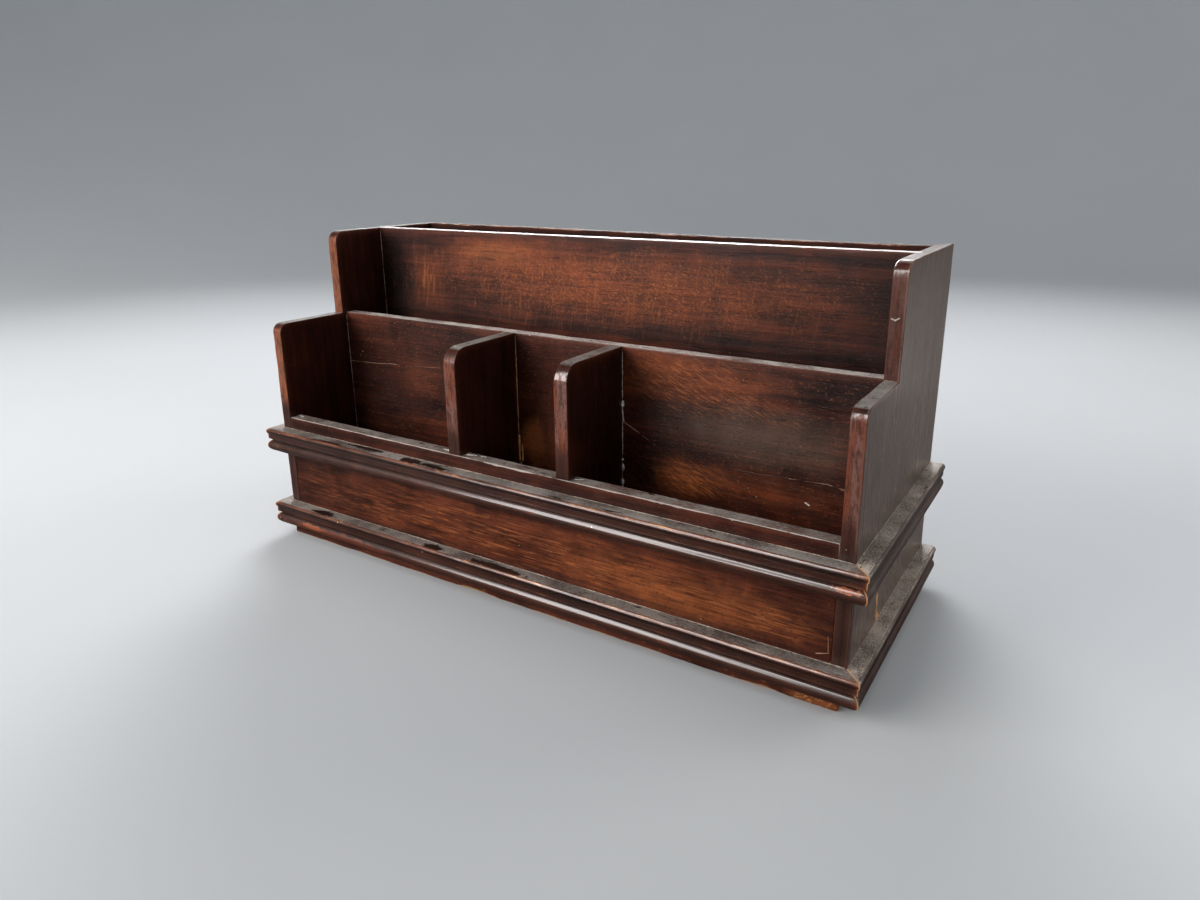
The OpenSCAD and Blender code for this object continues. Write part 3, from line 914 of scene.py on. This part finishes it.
def mouldRun(name, run, seed):
    # run is "front", "left" or "right"; both ends of the front one are mitred
    low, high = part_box(name)
    boardLow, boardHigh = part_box("left_end_board")
    out = boardLow.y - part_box(name.split("_")[0] + "_moulding_front")[0].y
    section = mouldSection(out, high.z - low.z)
    halfWide = -boardLow.x
    long = 2 * (halfWide + out) if run == "front" else boardHigh.y - boardLow.y + out
    ends = [0, 0.3, 0.8, 1.6, 3.0, 5.0]
    stops = [e * mm for e in ends]
    middles = int((long - 2 * stops[-1]) / 0.0045)
    stops += [stops[-1] + (long - 2 * stops[-1]) * k / middles for k in range(1, middles)]
    stops += [long - e * mm for e in reversed(ends)]
    rand = random.Random(seed)
    dents = [
        (rand.uniform(0.01, long), rand.uniform(0.0015, 0.006), rand.uniform(0.15, 0.6) * mm, rand.uniform(0.0, 1.0))
        for _ in range(int(long / 0.012))]
    work = bmesh.new()
    layer = work.verts.layers.float.new("edgeWear")
    rows = []
    for at in stops:
        row = []
        for u, v, wear in section:
            if run == "front":
                mitre = (halfWide + u) / (halfWide + out)
                t = (at - long / 2) * mitre
                tipGap = (long / 2 - abs(at - long / 2))
            else:
                t = boardLow.y - u + (at / long) * (boardHigh.y - boardLow.y + u)
                tipGap = min(at, long - at + 0.002)
            bite = 0.0
            if wear > 0.12:
                fine = noise.noise(Vector((at * 220, v * 300, seed)))
                lump = fine * 0.5 + noise.noise(Vector((at * 55, v * 120, seed + 9)))
                bite = max(0.0, lump) * 0.12 * mm * wear
                for centre, wide, deep, part in dents:
                    near = abs(at - centre) / wide
                    if near < 1 and abs(wear - 0.4 - part * 0.5) < 0.25:
                        bite += deep * 0.6 * (1 - near * near) ** 2
            tip = math.exp(-tipGap / (0.9 * mm))
            bite += 0.3 * mm * tip * (1 if u > 1 * mm else 0)
            push = Vector((0, 1 if v > 8 * mm else -1))
            if u > 5 * mm:
                push = Vector((u - 4.5 * mm, v - 8 * mm)).normalized()
            outAt = u - push.x * bite
            upAt = min(max(v - push.y * bite * 0.7, 0.0), high.z - low.z)
            if u == 0.0:
                outAt, upAt = u, v
            if run == "front":
                co = (t, boardLow.y - outAt, low.z + upAt)
            else:
                co = ((halfWide + outAt) * (1 if run == "right" else -1), t, low.z + upAt)
            row.append(work.verts.new(co))
            row[-1][layer] = min(1.0, wear + 0.9 * tip * (1 if u > 1 * mm else 0) + bite / (0.5 * mm))
        rows.append(row)
    return pieceFromRings(name + "_wood", work, rows)


def bareOf(tree, place, blots):
    # where the dust was lifted by a spill, so that the dark finish shows
    total = None
    for at, size, colour in blots:
        if colour == "black":
            mask = placeMask(tree, place, {"at": at, "size": size}, Soft=0.12, Ragged=0.9, Grain=240.0)
            total = mask if total is None else maths(tree, "MAXIMUM", total, mask)
    return total


mouldTurn = {"front": (0, 0, 0), "left": (0, 0, math.radians(90)), "right": (0, 0, math.radians(90))}
for level in ("upper", "lower"):
    for run in ("front", "left", "right"):
        node = f"{level}_moulding_{run}"
        piece = mouldRun(node, run, len(node) * 3 + (7 if level == "upper" else 40))
        smooth(piece, 50)
        finish = dict(mouldLook["finish"], grain=mouldTurn[run], seed=4.0 + len(node))
        finish["specks"] = [{"scale": 190.0, "share": 0.08, "dot": 0.07}]
        frontLow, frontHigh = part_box(level + "_moulding_front")
        finish["mitre"] = frontHigh.x + frontLow.y
        if run == "right":
            # the right runs: paler dust, rub and arris colours, partly dust and partly a painted sheen
            finish.update(dustColour="sideDustAndSheen", coat=0.3, rub=0.3, rubColour="sideDustAndSheen", lineColour="sideDustAndSheen")
        blots = [b for b in mouldLook["blots"] if run == "front" and (b[0][2] > 0.05) == (level == "upper")]
        finish["patches"] = [
            spotAt(at, size, 1.0, colour, 0.95, 0.12, ragged=0.9, edgeGrain=240.0) for at, size, colour in blots]
        if blots:
            finish["bare"] = lambda tree, place, blots=blots: bareOf(tree, place, blots)
        settle(piece, node, woodFinish(node + "Finish", finish))
print("mouldings made")

# base board, seen as a strip below the lower moulding
baseLook = {
    "finish": {
        "seed": 6.0, "tone": 0.6, "wear": 0.85, "lineColour": "bare", "rough": 0.5, "coat": 0.0,
        "patches": spotsOn(-0.079, [(0.19, 0.0035, 0.016, 0.01, 0.5, "orange", 0.1, 0.6)]),
        "strokes": strokesOn(-0.079, [
            (20, (300, 900, 900), 0.6, 0.9, "bare", 0.19, 0.003, 0.014, 0.008),
            (0, (160, 700, 700), 0.3, 0.7, "orange"),
        ]),
        "lines": linesOn(-0.08, [(0.195, 0.0, 0.1955, 0.007, 0.0005, 0.0, 0.7, "black")]),
    },
}
low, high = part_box("base_board")
corners = [
    corner(low.x, low.y, 0.001), corner(high.x, low.y, 0.001), corner(high.x, high.y, 0.001),
    corner(low.x, high.y, 0.001)]
piece = plate("base_board_wood", corners, (0, 1, 2), low.z, high.z, ease=0.0012, seed=41)
smooth(piece)
settle(piece, "base_board", woodFinish("baseFinish", baseLook["finish"]))
print("base made")


# nails and pins keep their own solids and get an old steel finish
def makeSteel():
    material, tree, shader, place = newMaterial("oldSteel")
    rust = span(tree, cloud(tree, place, 900.0, 4.0, 0.65), 0.42, 0.6)
    plug(tree, shader, "Base Color", mixColour(tree, rust, (0.16, 0.15, 0.14), (0.12, 0.045, 0.02)))
    plug(tree, shader, "Metallic", span(tree, rust, 0.0, 1.0, 0.9, 0.15))
    plug(tree, shader, "Roughness", span(tree, rust, 0.0, 1.0, 0.38, 0.8))
    plug(tree, shader, "Normal", bumped(tree, rust, 0.4, 0.0001))
    return material


steel = makeSteel()
for node in ("base_nails", "moulding_pins"):
    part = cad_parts[node]
    part.data.materials.clear()
    part.data.materials.append(steel)


# dried glue squeezed out along the dividers, and bits of it on the lip
def makeGlue(label, pale, deep):
    material, tree, shader, place = newMaterial(label)
    dirt = span(tree, cloud(tree, place, 420.0, 4.0, 0.7), 0.38, 0.66)
    plug(tree, shader, "Base Color", mixColour(tree, dirt, pale, deep))
    plug(tree, shader, "Roughness", span(tree, dirt, 0.0, 1.0, 0.4, 0.7))
    plug(tree, shader, "Normal", bumped(tree, dirt, 0.6, 0.0002))
    return material


def bead(name, points, sizes, material, seed, sides=8):
    # a lumpy run of glue through the points, a tube whose thickness varies
    rand, work, rings = random.Random(seed), bmesh.new(), []
    for i, p in enumerate(points):
        ahead = (Vector(points[min(i + 1, len(points) - 1)]) - Vector(points[max(i - 1, 0)])).normalized()
        across = ahead.orthogonal().normalized()
        other = ahead.cross(across)
        ring = []
        for k in range(sides):
            angle = 2 * math.pi * k / sides
            size = sizes[i] * rand.uniform(0.75, 1.2)
            ring.append(work.verts.new(Vector(p) + (across * math.cos(angle) + other * math.sin(angle)) * size))
        rings.append(ring)
    piece = pieceFromRings(name, work, rings)
    piece.data.polygons.foreach_set("use_smooth", [True] * len(piece.data.polygons))
    rounded = piece.modifiers.new("rounded", "SUBSURF")
    rounded.levels = rounded.render_levels = 1
    piece.data.materials.append(material)
    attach(piece, "root")
    return piece


def lumps(at, seed, lift):
    return max(0.0, noise.noise(Vector((at, seed, 0))) + lift)


def seam(name, start, end, steps, sizeAt, material, seed):
    # a straight run of old glue or dust; sizeAt gives the thickness in millimetres at each step
    points = [[a + (b - a) * i / steps for a, b in zip(start, end)] for i in range(steps + 1)]
    bead(name, points, [mm * sizeAt(i) for i in range(steps + 1)], material, seed, sides=6)


whiteGlue = makeGlue("whiteGlue", (0.86, 0.83, 0.77), (0.36, 0.28, 0.21))
greyGlue = makeGlue("greyGlue", (0.50, 0.46, 0.42), (0.20, 0.16, 0.13))
amberGlue = makeGlue("amberGlue", (1.0, 0.50, 0.20), (0.62, 0.22, 0.07))
rightSide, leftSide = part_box("right_divider")[1].x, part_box("left_divider")[1].x


def drip(x, low, high, thick, seed):
    rand, points, sizes = random.Random(seed), [], []
    steps = max(4, int((high - low) / 0.0012))
    for i in range(steps + 1):
        t = i / steps
        points.append((
            x + 0.5 * thick + rand.uniform(-0.12, 0.2) * mm, middleFace - 0.4 * thick - rand.uniform(0.0, 0.2) * mm,
            low + (high - low) * t))
        sizes.append(thick * (0.55 + 0.6 * rand.random()) * (0.35 if i in (0, steps) else 1))
    return points, sizes


glueRuns = {
    "glueRight1": (rightSide, 0.0645, 0.0710, 1.1, 3, whiteGlue),
    "glueRight2": (rightSide, 0.0755, 0.0812, 1.15, 4, whiteGlue),
    "glueRight3": (rightSide, 0.0828, 0.0845, 0.9, 5, whiteGlue),
    "glueRight4": (rightSide, 0.0870, 0.1080, 0.24, 6, whiteGlue),
    "glueRight5": (rightSide, 0.1175, 0.1218, 1.75, 7, whiteGlue),
    "glueRight6": (rightSide, 0.1225, 0.1520, 0.24, 8, whiteGlue),
    "glueLeft1": (leftSide, 0.0670, 0.0860, 0.85, 9, amberGlue),
    "glueLeft2": (leftSide + 2.4 * mm, 0.0670, 0.0800, 0.65, 10, amberGlue),
    "glueLeft3": (leftSide + 1.2 * mm, 0.0650, 0.0668, 0.7, 12, amberGlue),
    "glueLeft4": (leftSide, 0.0870, 0.1480, 0.24, 11, amberGlue),
}
for name, (x, low, high, thick, seed, material) in glueRuns.items():
    points, sizes = drip(x, low, high, thick * mm, seed)
    bead(name, points, sizes, material, seed)

# the strand that runs from the drop at the right divider to the crack
rand = random.Random(61)
strand = [
    (rightSide + (0.1 + 1.1 * (t / 8) ** 1.6) * mm, middleFace - 0.35 * mm, 0.1178 - 0.0099 * t / 8)
    for t in range(9)]
bead("glueStrand", strand, [0.34 * mm * rand.uniform(0.8, 1.2) for _ in strand], whiteGlue, 61)

# bits of glue left on the lip
glueBits = {
    "glueBitLeft1": ((-0.0560, -0.0715), (-0.0478, -0.0725), 0.75, 51),
    "glueBitLeft2": ((-0.0372, -0.0725), (-0.0290, -0.0705), 0.95, 52),
    "glueBitLeft3": ((-0.0270, -0.0700), (-0.0225, -0.0695), 0.45, 53),
    "glueBitCorner": ((-0.1965, -0.0700), (-0.1890, -0.0712), 0.6, 54),
    "glueBitDot": ((-0.1745, -0.0740), (-0.1735, -0.0742), 0.4, 55),
    "glueBitRight": ((0.0440, -0.0728), (0.0495, -0.0700), 0.7, 56),
}
for name, (start, end, thick, seed) in glueBits.items():
    rand = random.Random(seed)
    points = []
    for t in range(6):
        x, y = (a + (b - a) * t / 5 for a, b in zip(start, end))
        points.append((x, y + rand.uniform(-0.3, 0.3) * mm, lipHigh.z))
    sizes = [thick * mm * rand.uniform(0.5, 1.2) * (0.4 if t in (0, 5) else 1) for t in range(6)]
    bead(name, points, sizes, greyGlue, seed)

# thin lines of old glue and dust left in the inner corners
seamGlue = makeGlue("seamGlue", (0.46, 0.31, 0.25), (0.12, 0.055, 0.04))
paleDust = makeGlue("paleDust", (0.42, 0.34, 0.26), (0.14, 0.11, 0.085))
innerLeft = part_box("left_end_board")[1].x
innerRight, boardRight = (point.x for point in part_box("right_end_board"))
middleTop, tallTop = middleHigh.z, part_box("tall_board")[1].z
seams = {
    "seamTallLeft": (innerLeft, tallFace, middleTop - 0.02, tallTop - 0.001, 31),
    "seamTallRight": (innerRight, tallFace, middleTop - 0.02, tallTop - 0.001, 32),
    "seamMiddleLeft": (innerLeft, middleFace, lipHigh.z - 0.03, middleTop - 0.001, 33),
    "seamMiddleRight": (innerRight, middleFace, lipHigh.z - 0.03, middleTop - 0.001, 34),
    "seamDividerLeft": (leftSide, middleFace, lipHigh.z - 0.03, middleTop - 0.001, 35),
    "seamDividerRight": (rightSide, middleFace, lipHigh.z - 0.03, middleTop - 0.001, 36),
}
# dust packed where the mouldings meet the right end board
ledges = {
    "seamUpperRight": (boardRight, 0.0801, -0.0765, 0.020, 37),
    "seamLowerRight": (boardRight, 0.0241, -0.0765, 0.045, 38),
}
seamProud, seamStep = 0.05 * mm, 2.5 * mm
for name, (x, z, near, far, seed) in ledges.items():
    x += seamProud
    seam(
        name, (x, near, z), (x, far, z), int((far - near) / seamStep),
        lambda i: 0.14 + 0.3 * lumps(i * 0.17, seed, 0.3), paleDust, seed)
fronts = {"seamUpperFront": (0.0801, 0.26, 39), "seamLowerFront": (0.0241, 0.34, 40)}
frontSteps, y = 160, frontFace - seamProud
for name, (z, thick, seed) in fronts.items():
    seam(
        name, (-0.2045, y, z), (0.2045, y, z), frontSteps,
        lambda i: 0.08 + thick * lumps(i * 0.11, seed, 0.25 + 0.3 * i / frontSteps), paleDust, seed)
for name, (x, y, low, high, seed) in seams.items():
    seam(
        name, (x, y, low), (x, y, high), int((high - low) / seamStep),
        lambda i: 0.2 + 0.3 * lumps(i * 0.21, seed, 0.35), seamGlue, seed)
print("glue made")

# plain pale floor that rises to a wall all round
room = {"flat": 1.7, "curve": 1.9, "wall": 3.0, "colour": (0.45, 0.46, 0.47), "mirrored": (0.105, 0.10, 0.098)}
around = 96
profile = [(0.0, 0.0), (room["flat"] / 2, 0.0), (room["flat"], 0.0)]
profile += [
    (room["flat"] + room["curve"] * math.sin(a), room["curve"] * (1 - math.cos(a)))
    for a in [math.radians(d) for d in range(6, 91, 6)]]
profile.append((room["flat"] + room["curve"], room["wall"]))
work = bmesh.new()
turns = [2 * math.pi * k / around for k in range(around)]
rings = [[work.verts.new((r * math.cos(a), r * math.sin(a), z)) for a in turns] for r, z in profile[1:]]
centre = work.verts.new((0, 0, 0))
for k in range(around):
    work.faces.new((centre, rings[0][k], rings[0][(k + 1) % around]))
    for one, two in zip(rings, rings[1:]):
        work.faces.new((one[k], two[k], two[(k + 1) % around], one[(k + 1) % around]))
bmesh.ops.recalc_face_normals(work, faces=work.faces)
floor = pieceFrom("floor", work)
floor.data.polygons.foreach_set("use_smooth", [True] * len(floor.data.polygons))
floorMaterial, tree, shader, place = newMaterial("floorPaper")
paper = mixColour(tree, cloud(tree, place, 3.0, 3.0), room["colour"], tuple(c * 0.94 for c in room["colour"]))
path = tree.nodes.new("ShaderNodeLightPath").outputs
# reflections see the floor painted dark, a painted reflection that keeps the dark polish deep
plug(tree, shader, "Base Color", mixColour(tree, path["Is Glossy Ray"], paper, room["mirrored"]))
shader.inputs["Roughness"].default_value = 0.9
shader.inputs["Specular IOR Level"].default_value = 0.0
floor.data.materials.append(floorMaterial)

world = bpy.data.worlds.new("room")
scene.world = world
world.use_nodes = True
world.node_tree.nodes["Background"].inputs[0].default_value = (0.75, 0.8, 0.86, 1)
world.node_tree.nodes["Background"].inputs[1].default_value = 0.55
world.cycles_visibility.glossy = False


def softbox(name, place, target, size, power, colour=(1, 1, 1), spread=180, glossy=True, diffuse=True):
    data = bpy.data.lights.new(name, "AREA")
    data.shape, data.size, data.size_y, data.energy, data.color = "RECTANGLE", size[0], size[1], power, colour
    light = bpy.data.objects.new(name, data)
    light.location = place
    light.rotation_euler = (Vector(target) - Vector(place)).to_track_quat("-Z", "Y").to_euler()
    data.spread = math.radians(spread)
    light.visible_camera, light.visible_glossy, light.visible_diffuse = False, glossy, diffuse
    scene.collection.objects.link(light)


softbox("keyLight", (-1.15, -1.25, 0.85), (0, 0, 0.08), (1.7, 1.0), 42, (1.0, 0.97, 0.94), glossy=False)
softbox("shineLight", (-0.74, -1.55, 1.0), (0, 0, 0.08), (1.08, 1.9), 71, (1.0, 0.98, 0.96), diffuse=False)
softbox("rimLight", (-1.0, 1.7, 0.85), (0, 0, 0.15), (1.8, 0.5), 12, (0.98, 0.98, 1.0), spread=60)
softbox("sideLight", (1.35, 1.5, 0.45), (0.15, 0, 0.1), (1.2, 0.9), 6, (1.0, 0.95, 0.9), spread=80, glossy=False)
softbox("cardLight", (0.50, 0.36, 0.006), (0.205, 0.1, 0.1), (0.5, 0.9), 0.5, (1.0, 0.95, 0.9), diffuse=False)
softbox("skyLight", (0, 0, 3.2), (0, 0, 0), (4.5, 4.5), 34, (0.95, 0.98, 1.0), glossy=False)
print("stage and lights set")
